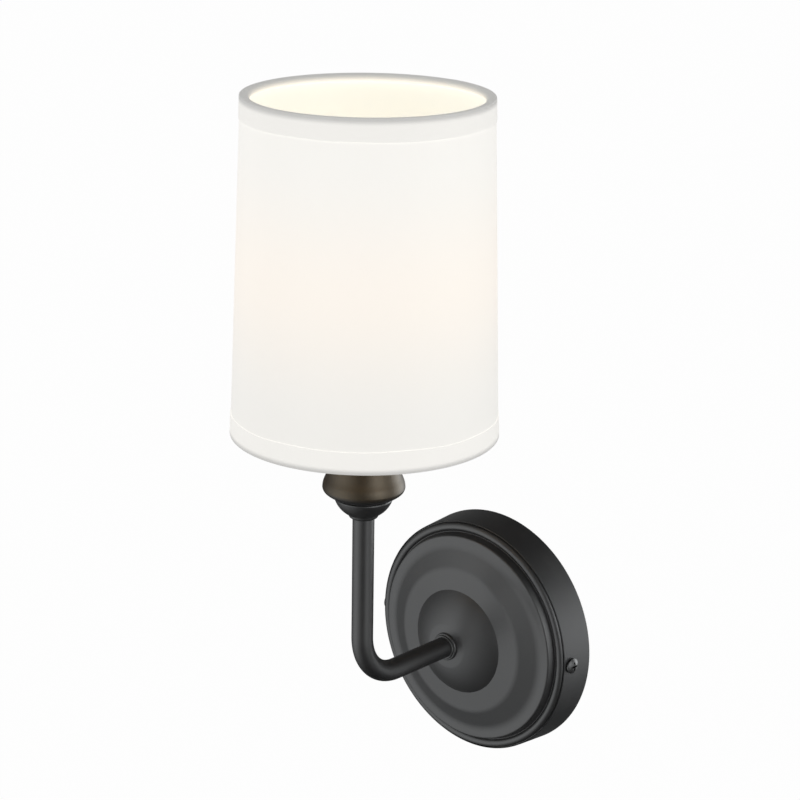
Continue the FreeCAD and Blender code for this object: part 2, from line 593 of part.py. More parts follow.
def socket_body():
    """Moulded body with a flared shoulder and a threaded skirt."""
    cavity = SHELL_R + SHELL_WALL + SNUG
    root = SKIRT_R - THREAD_DEPTH
    first = SKIRT_TOP_Z - 3.0 - SKIRT_THREADS * SKIRT_PITCH
    body = Outline(0, SOCKET_FLOOR_Z).line(cavity - 1, SOCKET_FLOOR_Z)
    body.line(cavity - 1, BODY_FOOT_Z).line(BODY_R - 0.6, BODY_FOOT_Z)
    body.line(BODY_R, BODY_FOOT_Z + 0.6).line(BODY_R, BODY_FOOT_Z + BODY_LENGTH)
    body.bulge((SHOULDER_R, SHOULDER_FOOT_Z), 1.0)
    body.line(SHOULDER_R, SEAT_Z - 0.5).line(SHOULDER_R - 0.5, SEAT_Z).line(SKIRT_R, SEAT_Z)
    body.line(SKIRT_R, first - 0.4)
    threaded_side(body, SKIRT_R, root, first, SKIRT_PITCH, SKIRT_THREADS)
    body.line(root, SKIRT_TOP_Z - 1.0).line(root - 0.6, SKIRT_TOP_Z)
    body.line(cavity, SKIRT_TOP_Z).line(cavity, SHELL_FOOT_Z).line(0, SHELL_FOOT_Z)
    solid = body.revolved()
    for side in (-1, 1):
        solid = solid.cut(Part.makeCylinder(FIXING_SCREW_R + SNUG, SOCKET_FLOOR + 2,
                                            Vec(side * FIXING_OFFSET, 0, SOCKET_FLOOR_Z - 1)))
    return on_lamp_axis(solid)


def screw_shell():
    """Threaded metal shell inside the socket that the bulb screws into."""
    outer = SHELL_R + SHELL_WALL
    top = SKIRT_TOP_Z - 2.5
    floor = SHELL_FOOT_Z + SHELL_FLOOR
    hole = TONGUE_WIDTH * 0.75
    shell = Outline(hole, SHELL_FOOT_Z).line(outer, SHELL_FOOT_Z).line(outer, top)
    shell.line(SHELL_R, top).line(SHELL_R, floor).line(hole, floor)
    solid = shell.revolved()
    for side in (-1, 1):
        solid = solid.cut(Part.makeCylinder(FIXING_SCREW_R + SNUG, 4,
                                            Vec(side * FIXING_OFFSET, 0, SHELL_FOOT_Z - 1)))
    return on_lamp_axis(solid)


def centre_contact():
    """Bent brass tongue that presses on the tip of the bulb."""
    half = TONGUE_WIDTH / 2
    under = TONGUE_TOP_Z - TONGUE_THICK
    strip = Outline(-half, SHELL_FOOT_Z).line(half, SHELL_FOOT_Z)
    strip.line(half, SHELL_FOOT_Z + TONGUE_THICK).line(-half + 1.2, SHELL_FOOT_Z + TONGUE_THICK)
    strip.line(-half + 2.2, under).line(half, under).line(half, TONGUE_TOP_Z)
    strip.line(-half + 1.7, TONGUE_TOP_Z).line(-half, SHELL_FOOT_Z + TONGUE_THICK)
    tongue = strip.face().extrude(Vec(0, TONGUE_WIDTH * 0.7, 0))
    return on_lamp_axis(tongue.translated(Vec(0, -TONGUE_WIDTH * 0.35, 0)))


def fixing_screws():
    """Two screws that hold the socket down on its holder."""
    seat = SHELL_FOOT_Z + SHELL_FLOOR
    group = []
    for side in (-1, 1):
        pan = Outline(0, LIP_Z).line(FIXING_SCREW_R, LIP_Z).line(FIXING_SCREW_R, seat)
        pan.line(FIXING_HEAD_R, seat).line(FIXING_HEAD_R, seat + FIXING_HEAD_HEIGHT * 0.6)
        pan.line(FIXING_HEAD_R * 0.6, seat + FIXING_HEAD_HEIGHT).line(0, seat + FIXING_HEAD_HEIGHT)
        slot = Part.makeBox(0.8, 2 * FIXING_HEAD_R + 1, 0.7,
                            Vec(-0.4, -FIXING_HEAD_R - 0.5, seat + FIXING_HEAD_HEIGHT - 0.7))
        group.append(on_lamp_axis(pan.revolved().cut(slot)
                                  .translated(Vec(side * FIXING_OFFSET, 0, 0))))
    return Part.makeCompound(group)


def ring_nut():
    """Ribbed ring that clamps the shade's fitter on the socket's shoulder."""
    bore = SKIRT_R + RUNNING
    top = FITTER_TOP_Z + RING_NUT_HEIGHT
    ring = Outline(bore, FITTER_TOP_Z).line(RING_NUT_R, FITTER_TOP_Z)
    ring.line(RING_NUT_R, top - 0.8).line(RING_NUT_R - 0.8, top).line(bore, top)
    nut = ring.revolved()
    notch_r = pi * RING_NUT_R / RING_NUT_RIBS * 0.45
    for rib in range(RING_NUT_RIBS):
        turn = radians(360 * rib / RING_NUT_RIBS)
        place = Vec((RING_NUT_R + notch_r * 0.5) * cos(turn), (RING_NUT_R + notch_r * 0.5) * sin(turn),
                    FITTER_TOP_Z - 1)
        nut = nut.cut(Part.makeCylinder(notch_r, RING_NUT_HEIGHT + 2, place))
    return on_lamp_axis(nut)


# ---- shade -----------------------------------------------------------------
def shade_skin(outer_offset, thickness):
    """Cone that follows the fabric, set in from its outside."""
    low, high = SHADE_BOTTOM_R - outer_offset, SHADE_TOP_R - outer_offset
    skin = Outline(low - thickness, SHADE_BOTTOM_Z).line(low, SHADE_BOTTOM_Z)
    skin.line(high, SHADE_TOP_Z).line(high - thickness, SHADE_TOP_Z)
    return on_lamp_axis(skin.revolved())


def shade_fabric():
    return shade_skin(0, FABRIC)


def shade_liner():
    return shade_skin(FABRIC, LINER)


def wire_centre(height):
    """Radius of a frame ring that lies against the liner at a height."""
    return liner_radius(height) - WIRE_R - abs(SHADE_SLOPE) * WIRE_R


def wire_ring(height):
    section = Part.Wire(Part.Circle(Vec(wire_centre(height), 0, height), Y_AXIS, WIRE_R).toShape())
    return on_lamp_axis(Part.Face(section).revolve(ORIGIN, Z_AXIS, 360))


def top_ring():
    return wire_ring(TOP_WIRE_Z)


def bottom_ring():
    return wire_ring(BOTTOM_WIRE_Z)


def hem_tape(edge, wire_z):
    """Tape folded over an edge of the shade and round its ring."""
    inward = 1 if wire_z > edge else -1
    leg = edge + inward * HEM
    wire_r = wire_centre(wire_z)
    around = WIRE_R + TAPE
    over = edge - inward * TAPE
    tip = wire_z + inward * around
    end = tip + inward * TUCK
    tape = Outline(shade_radius(edge), edge).line(shade_radius(leg), leg)
    tape.line(shade_radius(leg) + TAPE, leg).line(shade_radius(edge) + TAPE, edge)
    tape.line(shade_radius(edge), over).line(wire_r, over)
    diagonal = around * sin(radians(45))
    tape.arc((wire_r - diagonal, wire_z - inward * diagonal), (wire_r - around, wire_z))
    tape.arc((wire_r - diagonal, wire_z + inward * diagonal), (wire_r, tip))
    tape.line(liner_radius(end), end).line(liner_radius(end - inward * TAPE), end - inward * TAPE)
    tape.line(wire_r, wire_z + inward * WIRE_R)
    diagonal = WIRE_R * sin(radians(45))
    tape.arc((wire_r - diagonal, wire_z + inward * diagonal), (wire_r - WIRE_R, wire_z))
    tape.arc((wire_r - diagonal, wire_z - inward * diagonal), (wire_r, wire_z - inward * WIRE_R))
    tape.line(wire_r, edge)
    return on_lamp_axis(tape.revolved())


def top_hem():
    return hem_tape(SHADE_TOP_Z, TOP_WIRE_Z)


def bottom_hem():
    """Bottom tape, slit where each arm of the fitter reaches the ring."""
    tape = hem_tape(SHADE_BOTTOM_Z, BOTTOM_WIRE_Z)
    for arm in arm_wires(ARM_WIRE_R + SNUG):
        tape = tape.cut(arm)
    return tape


def fitter_washer():
    """Washer of the fitter, which rests on the socket's shoulder."""
    return on_lamp_axis(tube(FITTER_R, FITTER_HOLE_R, SEAT_Z, FITTER_TOP_Z))


def arm_wires(radius):
    """Bars of a radius along the fitter's arms, from the washer to the bottom ring."""
    under = SEAT_Z - ARM_WIRE_R
    start = SHOULDER_R + ARM_WIRE_R * 0.8
    ring_r = wire_centre(BOTTOM_WIRE_Z)
    knee = Vec(FITTER_R + 1.5, 0, under)
    foot = Vec(ring_r, 0, BOTTOM_WIRE_Z)
    slope = atan2(knee.z - foot.z, foot.x - knee.x)
    bend = 6.0
    setback = bend * tan(slope / 2)
    before = Vec(knee.x - setback, 0, under)
    after = Vec(knee.x + setback * cos(slope), 0, under - setback * sin(slope))
    middle = Vec(knee.x - setback + bend * sin(slope / 2), 0, under - bend * (1 - cos(slope / 2)))
    path = Part.Wire([Part.LineSegment(Vec(start, 0, under), before).toShape(),
                      Part.Arc(before, middle, after).toShape(),
                      Part.LineSegment(after, foot).toShape()])
    section = Part.Wire(Part.Circle(Vec(start, 0, under), X_AXIS, radius).toShape())
    wire = path.makePipeShell([section], True, True)
    wires = []
    for arm in range(FITTER_ARMS):
        turned = wire.copy()
        turned.rotate(ORIGIN, Z_AXIS, 90 + 360 * arm / FITTER_ARMS)
        wires.append(on_lamp_axis(turned))
    return wires


def fitter_arms():
    """Three wires from the washer down to the bottom ring, coped where they meet it."""
    ring = bottom_ring()
    return Part.makeCompound([wire.cut(ring).Solids[0] for wire in arm_wires(ARM_WIRE_R)])


# ---- bulb ------------------------------------------------------------------
def bulb_glass():
    """Frosted torpedo envelope, blown thin and closed round its own space."""
    foot = CAP_TOP_Z - 1.0
    widest = CAP_TOP_Z + BULB_SWELL
    shoulder = BULB_TOP_Z - BULB_NOSE

    def envelope(inset):
        tip = BULB_TIP_R - inset
        glass = Outline(0, foot + inset).line(BULB_NECK_R - inset, foot + inset)
        glass.line(BULB_NECK_R - inset, foot + 4.0)
        glass.bulge((BULB_R - inset, widest), -1.6)
        glass.bulge((BULB_R * 0.8 - inset, shoulder), -1.0)
        glass.bulge((tip * sin(radians(60)), BULB_TOP_Z - inset - tip * 0.5), -2.4)
        glass.cap(BULB_TOP_Z - inset)
        return glass.revolved()

    return on_lamp_axis(envelope(0).cut(envelope(GLASS_WALL)))


def bulb_cap():
    """Threaded metal cap of the bulb."""
    root = CAP_R - 0.7
    inner = BULB_NECK_R - GLASS_WALL
    cap = Outline(8.0, CAP_FOOT_Z).line(root - 1.6, CAP_FOOT_Z).line(root, CAP_FOOT_Z + 2.0)
    threaded_side(cap, CAP_R, root, CAP_FOOT_Z + 3.0, CAP_PITCH, CAP_THREADS)
    cap.line(root, CAP_TOP_Z - 3.0).line(CAP_R, CAP_TOP_Z - 2.0).line(CAP_R, CAP_TOP_Z)
    cap.line(BULB_NECK_R + 0.02, CAP_TOP_Z).line(BULB_NECK_R + 0.02, CAP_TOP_Z - 1.0)
    cap.line(inner, CAP_TOP_Z - 1.0).line(inner, CAP_FOOT_Z + 3.0).line(8.0, CAP_FOOT_Z + 1.0)
    return on_lamp_axis(cap.revolved())


def bulb_insulator():
    """Dark glass cone between the cap and the centre contact."""
    cone = Outline(0, CAP_FOOT_Z - INSULATOR_HEIGHT)
    cone.line(CONTACT_R + 0.4, CAP_FOOT_Z - INSULATOR_HEIGHT)
    cone.bulge((CAP_R - 2.6, CAP_FOOT_Z), -0.5).line(0, CAP_FOOT_Z)
    return on_lamp_axis(cone.revolved())


def bulb_contact():
    button = Outline(0, BULB_FOOT_Z).line(CONTACT_R - 0.8, BULB_FOOT_Z)
    button.bulge((CONTACT_R, BULB_FOOT_Z + 0.8), -0.2)
    button.line(CONTACT_R, BULB_FOOT_Z + CONTACT_HEIGHT).line(0, BULB_FOOT_Z + CONTACT_HEIGHT)
    return on_lamp_axis(button.revolved())


PIECES = {
    "wall_canopy": wall_canopy,
    "mounting_strap": mounting_strap,
    "ground_screw": ground_screw,
    "side_screw_right": lambda: side_screw(1),
    "side_screw_left": lambda: side_screw(-1),
    "arm_tube": arm_tube,
    "arm_collar": arm_collar,
    "lock_washer": lock_washer,
    "canopy_nut": canopy_nut,
    "wire_bushing": wire_bushing,
    "neck_collar": neck_collar,
    "socket_cup": socket_cup,
    "cup_nut": cup_nut,
    "socket_holder": socket_holder,
    "socket_body": socket_body,
    "screw_shell": screw_shell,
    "centre_contact": centre_contact,
    "fixing_screws": fixing_screws,
    "ring_nut": ring_nut,
    "shade_fabric": shade_fabric,
    "shade_liner": shade_liner,
    "top_hem": top_hem,
    "bottom_hem": bottom_hem,
    "top_ring": top_ring,
    "bottom_ring": bottom_ring,
    "fitter_washer": fitter_washer,
    "fitter_arms": fitter_arms,
    "bulb_glass": bulb_glass,
    "bulb_cap": bulb_cap,
    "bulb_insulator": bulb_insulator,
    "bulb_contact": bulb_contact,
}


def main():
    os.makedirs("parts", exist_ok=True)
    for name, make in PIECES.items():
        shape = make()
        solids = shape.Solids
        if not shape.isValid() or not solids or any(solid.Volume <= 0 for solid in solids):
            raise ValueError(f"{name} is not a sound solid")
        out = solids[0] if len(solids) == 1 else Part.makeCompound(solids)
        out.exportStep(f"parts/{name}.step")
        print(f"{name}: {len(solids)} solid(s), {out.Volume:.0f} mm3")


main()
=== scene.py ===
"""Looks of a wall light with a fabric drum shade on a bent tube arm.

The arm, the cup, the hardware, the lamp socket, the shade's wire frame and the bulb keep their
solids and get procedural finishes. The pressed canopy, the cloth of the shade, its backing and
the tapes over its edges are modelled here in place of their plain solids. Lengths are metres in
the light's own frame: +Z is up, the wall is the plane Y = 0 and the light stands out of it
towards -Y. The canopy's outline is in millimetres.
"""

import json
import logging
import math
from dataclasses import dataclass
from enum import Enum
from typing import Callable, Sequence, Union

import bmesh
import bpy
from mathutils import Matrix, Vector, noise

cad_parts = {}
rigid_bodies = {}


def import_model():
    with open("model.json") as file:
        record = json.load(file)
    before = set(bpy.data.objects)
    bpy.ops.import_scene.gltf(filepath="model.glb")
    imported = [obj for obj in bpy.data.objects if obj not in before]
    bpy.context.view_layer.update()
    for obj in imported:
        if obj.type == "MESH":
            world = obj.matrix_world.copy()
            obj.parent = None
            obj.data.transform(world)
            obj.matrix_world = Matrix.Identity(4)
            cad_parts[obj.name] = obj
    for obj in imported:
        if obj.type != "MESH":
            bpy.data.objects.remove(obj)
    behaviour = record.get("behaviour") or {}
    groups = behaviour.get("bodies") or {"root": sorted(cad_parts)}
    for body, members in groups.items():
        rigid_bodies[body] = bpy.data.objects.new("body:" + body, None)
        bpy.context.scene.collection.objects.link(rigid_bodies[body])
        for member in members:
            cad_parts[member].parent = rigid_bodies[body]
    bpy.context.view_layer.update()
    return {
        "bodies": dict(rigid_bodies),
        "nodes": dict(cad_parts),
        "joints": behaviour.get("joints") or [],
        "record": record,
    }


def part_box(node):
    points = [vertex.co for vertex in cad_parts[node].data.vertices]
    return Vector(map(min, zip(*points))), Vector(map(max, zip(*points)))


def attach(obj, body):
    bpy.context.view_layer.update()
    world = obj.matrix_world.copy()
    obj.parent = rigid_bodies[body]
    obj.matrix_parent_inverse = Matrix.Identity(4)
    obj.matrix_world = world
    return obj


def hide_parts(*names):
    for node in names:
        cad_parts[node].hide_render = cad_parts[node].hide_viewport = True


LOG = logging.getLogger("wall_light")
MM = 0.001

Colour = tuple[float, float, float]
Term = Union["Signal", float, int]


# ---- shader sheets ---------------------------------------------------------
class Signal:
    """A node's output socket that takes part in ordinary arithmetic."""

    def __init__(self, sheet: "ShaderSheet", socket: bpy.types.NodeSocket) -> None:
        """Keep the socket and the sheet that it is drawn on."""
        self.sheet = sheet
        self.socket = socket

    def __add__(self, other: Term) -> "Signal":
        """Sum."""
        return self.sheet.maths("ADD", self, other)

    def __sub__(self, other: Term) -> "Signal":
        """Difference."""
        return self.sheet.maths("SUBTRACT", self, other)

    def __rsub__(self, other: Term) -> "Signal":
        """Difference from a number."""
        return self.sheet.maths("SUBTRACT", other, self)

    def __mul__(self, other: Term) -> "Signal":
        """Product."""
        return self.sheet.maths("MULTIPLY", self, other)

    def __truediv__(self, other: Term) -> "Signal":
        """Quotient."""
        return self.sheet.maths("DIVIDE", self, other)

    def __pow__(self, other: Term) -> "Signal":
        """Power."""
        return self.sheet.maths("POWER", self, other)

    __radd__ = __add__
    __rmul__ = __mul__

    def sine(self) -> "Signal":
        """Sine of the value in radians."""
        return self.sheet.maths("SINE", self)

    def size(self) -> "Signal":
        """Value without its sign."""
        return self.sheet.maths("ABSOLUTE", self)

    def rise(self, low: float, high: float) -> "Signal":
        """Smooth step from 0 at `low` to 1 at `high`.

        Args:
            low: value at which the step starts.
            high: value at which it is complete, which may be below `low`.

        Returns:
            The stepped signal.
        """
        node = self.sheet.node("ShaderNodeMapRange", {"interpolation_type": "SMOOTHSTEP"},
                               {"Value": self, "From Min": low, "From Max": high})
        return Signal(self.sheet, node.outputs["Result"])


class ShaderSheet:
    """Node tree of one material or of the world."""

    def __init__(self, name: str, world: bool = False) -> None:
        """Start an empty sheet.

        Args:
            name: name of the material or world.
            world: whether it is the world's sheet.
        """
        self.owner = (bpy.data.worlds if world else bpy.data.materials).new(name)
        self.owner.use_nodes = True
        self.tree = self.owner.node_tree
        self.tree.nodes.clear()

    def node(self, kind: str, settings: dict | None = None, inputs: dict | None = None) -> bpy.types.Node:
        """Add a node.

        Args:
            kind: the node's type.
            settings: properties that are set first.
            inputs: values or signals for its sockets, by name or number.

        Returns:
            The new node.
        """
        node = self.tree.nodes.new(kind)
        for key, value in (settings or {}).items():
            setattr(node, key, value)
        for key, value in (inputs or {}).items():
            self.feed(node.inputs[key], value)
        return node

    def feed(self, socket: bpy.types.NodeSocket, value: object) -> None:
        """Link or set one input socket.

        Args:
            socket: the input.
            value: a signal, a colour or a number.
        """
        if isinstance(value, Signal):
            self.tree.links.new(value.socket, socket)
        elif isinstance(value, tuple) and len(value) == 3 and len(socket.default_value) == 4:
            socket.default_value = (*value, 1.0)
        else:
            socket.default_value = value

    def maths(self, operation: str, *terms: Term) -> Signal:
        """Math node.

        Args:
            operation: the node's operation.
            terms: its inputs in order.

        Returns:
            Its result.
        """
        node = self.node("ShaderNodeMath", {"operation": operation}, dict(enumerate(terms)))
        return Signal(self, node.outputs[0])

    def place(self, stretch: Colour = (1.0, 1.0, 1.0)) -> Signal:
        """Object coordinates.

        Args:
            stretch: scale along X, Y and Z.

        Returns:
            The coordinates.
        """
        source = Signal(self, self.node("ShaderNodeTexCoord").outputs["Object"])
        node = self.node("ShaderNodeMapping", None, {"Vector": source, "Scale": stretch})
        return Signal(self, node.outputs["Vector"])

    def ray(self, kind: str) -> Signal:
        """1 where the ray is of a kind, otherwise 0."""
        return Signal(self, self.node("ShaderNodeLightPath").outputs[f"Is {kind} Ray"])

    def toward(self, way: Colour) -> Signal:
        """How far the world's direction points a way: 1 straight there, 0 from a right angle on."""
        sky = Signal(self, self.node("ShaderNodeTexCoord").outputs["Generated"])
        aim = tuple(Vector(way).normalized())
        node = self.node("ShaderNodeVectorMath", {"operation": "DOT_PRODUCT"}, {0: sky, 1: aim})
        return self.maths("MAXIMUM", Signal(self, node.outputs["Value"]), 0.0)

    def axes(self, vector: Signal) -> tuple[Signal, Signal, Signal]:
        """The three parts of a vector."""
        node = self.node("ShaderNodeSeparateXYZ", None, {"Vector": vector})
        return tuple(Signal(self, output) for output in node.outputs)

    def vector(self, x: Term, y: Term, z: Term) -> Signal:
        """A vector from its three parts."""
        node = self.node("ShaderNodeCombineXYZ", None, {"X": x, "Y": y, "Z": z})
        return Signal(self, node.outputs["Vector"])

    def cloth_place(self, name: str) -> Signal:
        """Place on the cloth in metres, from the piece's own map."""
        return Signal(self, self.node("ShaderNodeUVMap", {"uv_map": name}).outputs["UV"])

    def noise(self, vector: Signal, scale: float, detail: float = 2.0) -> Signal:
        """Noise from 0 to 1.

        Args:
            vector: where it is read.
            scale: its scale.
            detail: its number of octaves.

        Returns:
            The noise.
        """
        node = self.node("ShaderNodeTexNoise", None, {"Vector": vector, "Scale": scale, "Detail": detail})
        return Signal(self, node.outputs["Fac"])

    def blend(self, factor: Term, first: object, second: object) -> Signal:
        """Mix of two colours.

        Args:
            factor: share of the second colour.
            first: a colour or signal.
            second: a colour or signal.

        Returns:
            The mixed colour.
        """
        node = self.node("ShaderNodeMix", {"data_type": "RGBA"}, {0: factor, 6: first, 7: second})
        return Signal(self, node.outputs[2])

    def bump(self, height: Signal, strength: float, distance: float) -> Signal:
        """Bumped normal.

        Args:
            height: relief from 0 to 1.
            strength: share of the relief that shows.
            distance: depth of the relief in metres.

        Returns:
            The normal.
        """
        node = self.node("ShaderNodeBump", None,
                         {"Strength": strength, "Distance": distance, "Height": height})
        return Signal(self, node.outputs["Normal"])

    def finish(self, **inputs: object) -> bpy.types.Material:
        """Close the sheet with its surface shader.

        Args:
            inputs: the shader's sockets, with underscores for spaces.

        Returns:
            The material.
        """
        named = {key.replace("_", " "): value for key, value in inputs.items()}
        shader = self.node("ShaderNodeBsdfPrincipled", None, named)
        output = self.node("ShaderNodeOutputMaterial")
        self.tree.links.new(shader.outputs["BSDF"], output.inputs["Surface"])
        return self.owner


# ---- finishes --------------------------------------------------------------
@dataclass(frozen=True)
class PowderCoat:
    """Satin black powder coat with the faint orange peel of a baked finish, and, on the cup, a painted
    reflection of the shade's warm light.
    """

    colour: Colour = (0.016, 0.016, 0.0165)
    worn: Colour = (0.021, 0.0205, 0.0205)
    roughness: float = 0.40
    grain: float = 1900.0
    # Painted reflection of the shade's warm light on the cup's top: its brownish colour, the heights where
    # it starts and is full, and its metallic share.
    painted_reflection_colour: Colour = (0.056, 0.040, 0.019)
    painted_reflection_from: float = 96.5 * MM
    painted_reflection_full: float = 99.5 * MM
    painted_reflection_share: float = 0.6

    def material(self, name: str = "satin_black_powder_coat", painted_reflection: bool = False) -> bpy.types.Material:
        """Build the material.

        Args:
            name: name of the material.
            painted_reflection: whether the cup's top gets a painted reflection of the shade's warm light, a
                brownish metallic tint.

        Returns:
            The material.
        """
        sheet = ShaderSheet(name)
        place = sheet.place()
        cloud = sheet.noise(place, 60.0)
        peel = sheet.noise(place, self.grain, 3.0)
        coat = sheet.blend(cloud.rise(0.35, 0.7) * 0.7 + peel * 0.3, self.colour, self.worn)
        # Painted reflection: from a given height up, the coat turns brownish and partly metallic to stand
        # in for the shade's warm light reflected in the cup.
        cast: Term = 0.0
        if painted_reflection:
            cast = sheet.axes(place)[2].rise(self.painted_reflection_from, self.painted_reflection_full) * self.painted_reflection_share
            coat = sheet.blend(cast, coat, self.painted_reflection_colour)
        return sheet.finish(
            Base_Color=coat,
            Metallic=cast,
            Roughness=self.roughness + (cloud - 0.5) * 0.08 + (peel - 0.5) * 0.10,
            Specular_IOR_Level=0.5,
            Normal=sheet.bump(peel, 0.35, 0.06 * MM))


class Metal(Enum):
    """Bare metals of the hidden hardware: colour, roughness, streak direction."""

    ZINC = ("zinc_plated_steel", (0.60, 0.60, 0.58), 0.34, (40.0, 500.0, 500.0))
    NICKEL = ("nickel_plated_wire", (0.68, 0.67, 0.63), 0.28, (300.0, 300.0, 300.0))
    BRASS = ("lamp_brass", (0.70, 0.52, 0.26), 0.30, (60.0, 60.0, 600.0))
    BRIGHT = ("bright_cap_metal", (0.76, 0.76, 0.74), 0.24, (60.0, 60.0, 900.0))
    GREEN = ("green_plated_screw", (0.05, 0.30, 0.12), 0.36, (300.0, 300.0, 300.0))

    def material(self) -> bpy.types.Material:
        """Build the material."""
        name, colour, roughness, streaks = self.value
        sheet = ShaderSheet(name)
        streak = sheet.noise(sheet.place(streaks), 1.0, 3.0)
        cloud = sheet.noise(sheet.place(), 140.0)
        dull = tuple(part * 0.78 for part in colour)
        return sheet.finish(
            Base_Color=sheet.blend(cloud.rise(0.3, 0.75), colour, dull),
            Metallic=1.0,
            Roughness=roughness + (streak - 0.5) * 0.18 + (cloud - 0.5) * 0.1,
            Normal=sheet.bump(streak, 0.25, 0.03 * MM))


class Moulding(Enum):
    """Moulded and fused insulating parts: colour, roughness."""

    PHENOLIC = ("black_phenolic", (0.020, 0.019, 0.018), 0.36)
    FUSED_GLASS = ("fused_black_glass", (0.012, 0.009, 0.014), 0.12)

    def material(self) -> bpy.types.Material:
        """Build the material."""
        name, colour, roughness = self.value
        sheet = ShaderSheet(name)
        flow = sheet.noise(sheet.place((1.0, 1.0, 0.4)), 420.0, 3.0)
        pale = tuple(part * 1.6 for part in colour)
        return sheet.finish(
            Base_Color=sheet.blend(flow, colour, pale),
            Roughness=roughness + (flow - 0.5) * 0.14,
            Normal=sheet.bump(flow, 0.2, 0.03 * MM))


@dataclass(frozen=True)
class FrostedGlass:
    """Lit, frosted bulb: brightest round its middle, paler towards neck and tip."""

    colour: Colour = (0.93, 0.90, 0.84)
    hot: Colour = (1.0, 0.90, 0.70)
    cool: Colour = (0.80, 0.62, 0.38)
    low: float = 0.158
    high: float = 0.235
    falloff: float = 2.5
    glow: float = 0.75

    def material(self) -> bpy.types.Material:
        """Build the material."""
        sheet = ShaderSheet("frosted_bulb_glass")
        place = sheet.place()
        height = sheet.axes(place)[2]
        middle = (self.low + self.high) / 2
        reach = (self.high - self.low) / 2
        heat = 1.0 - ((height - middle).size() / reach) ** self.falloff
        frost = sheet.noise(place, 2500.0)
        return sheet.finish(
            Base_Color=sheet.blend(frost, self.colour, tuple(part * 0.96 for part in self.colour)),
            Roughness=0.55,
            Emission_Color=sheet.blend(heat, self.cool, self.hot),
            Emission_Strength=self.glow,
            Normal=sheet.bump(frost, 0.15, 0.02 * MM))


@dataclass(frozen=True)
class Linen:
    """Plain-weave linen with slubs, with the bulb's light from behind painted on as a glow."""

    thread: float = 0.46 * MM
    colour: Colour = (0.86, 0.855, 0.835)
    # The darker colour below is painted shade in the weave's valleys, with the slubs' tone mixed in.
    valley_shade_and_slub_tone: Colour = (0.74, 0.735, 0.715)
    # Painted light through the cloth: its colours away from and near the bulb's height and the reach of the
    # warm part, then the widths of the painted shade at the top and bottom rims, and the height where the
    # glow stops growing brighter.
    glow_cool: Colour = (0.475, 0.462, 0.435)
    glow_warm: Colour = (0.52, 0.465, 0.405)
    bulb_height: float = 0.203
    rims: tuple[float, float] = (0.1262, 0.2822)
    warm_reach: float = 60 * MM
    top_rim_shade: tuple[float, float] = (0.8 * MM, 3.6 * MM)
    bottom_rim_shade: float = 2.5 * MM
    climb_end: float = 15 * MM
    contrast: float = 0.2
    cloth_map: str = "cloth"

    def weave(self, sheet: ShaderSheet) -> tuple[Signal, Signal]:
        """Relief of the threads and their slubs.

        Args:
            sheet: the sheet to draw on.

        Returns:
            The relief and the slubs, each from 0 to 1.
        """
        across, along, _ = sheet.axes(sheet.cloth_place(self.cloth_map))
        drift = sheet.noise(sheet.vector(across * 90.0, along * 90.0, 0.0), 1.0)
        wander = (drift - 0.5) * (0.5 * self.thread)
        warp = (across + wander) * (math.pi / self.thread)
        weft = (along + wander) * (math.pi / self.thread)
        over = warp.sine() * weft.sine() * 0.5 + 0.5
        relief = warp.sine().size() * over + weft.sine().size() * (1.0 - over)
        upright = sheet.noise(sheet.vector(across * 1500.0, along * 60.0, 0.0), 1.0, 2.0)
        level = sheet.noise(sheet.vector(across * 60.0, along * 1500.0, 7.0), 1.0, 2.0)
        return relief, upright * 0.5 + level * 0.5

    def material(self, name: str = "linen", glow: float = 1.0) -> bpy.types.Material:
        """Build the material.

        Args:
            name: name of the material.
            glow: share of the bulb's light that comes through.

        Returns:
            The material.
        """
        sheet = ShaderSheet(name)
        relief, slub = self.weave(sheet)
        height = sheet.axes(sheet.place())[2]
        # Painted light: the emission stands in for the bulb's light through the cloth. It is warmer near
        # the bulb's height, a little brighter towards the top, and dimmed near both rims as painted shade
        # where the rings and tapes block it.
        heat = 1.0 - (height - self.bulb_height).size().rise(0.0, self.warm_reach)
        below, above = self.rims
        clear = (above - height).rise(*self.top_rim_shade) * (height - below).rise(0.0, self.bottom_rim_shade)
        climb = height.rise(below, above - self.climb_end)
        # The weave's relief and slubs darken the base colour into the valleys between threads as painted
        # shade, with slub tone, and let more painted glow through the gaps.
        shade = relief * 0.65 + slub * 0.35
        weave_glow = (1.0 - (shade - 0.5) * self.contrast) * (clear * 0.75 + 0.25) * (climb * 0.26 + 0.87)
        glow_colour = sheet.blend(heat, self.glow_cool, self.glow_warm)
        lit = sheet.blend(weave_glow * glow, (0.0, 0.0, 0.0), glow_colour)
        return sheet.finish(
            Base_Color=sheet.blend(shade.rise(0.1, 0.8), self.valley_shade_and_slub_tone, self.colour),
            Roughness=0.86,
            Specular_IOR_Level=0.2,
            Sheen_Weight=0.15,
            Emission_Color=lit,
            Emission_Strength=1.0,
            Normal=sheet.bump(shade, 0.30, 0.12 * MM))


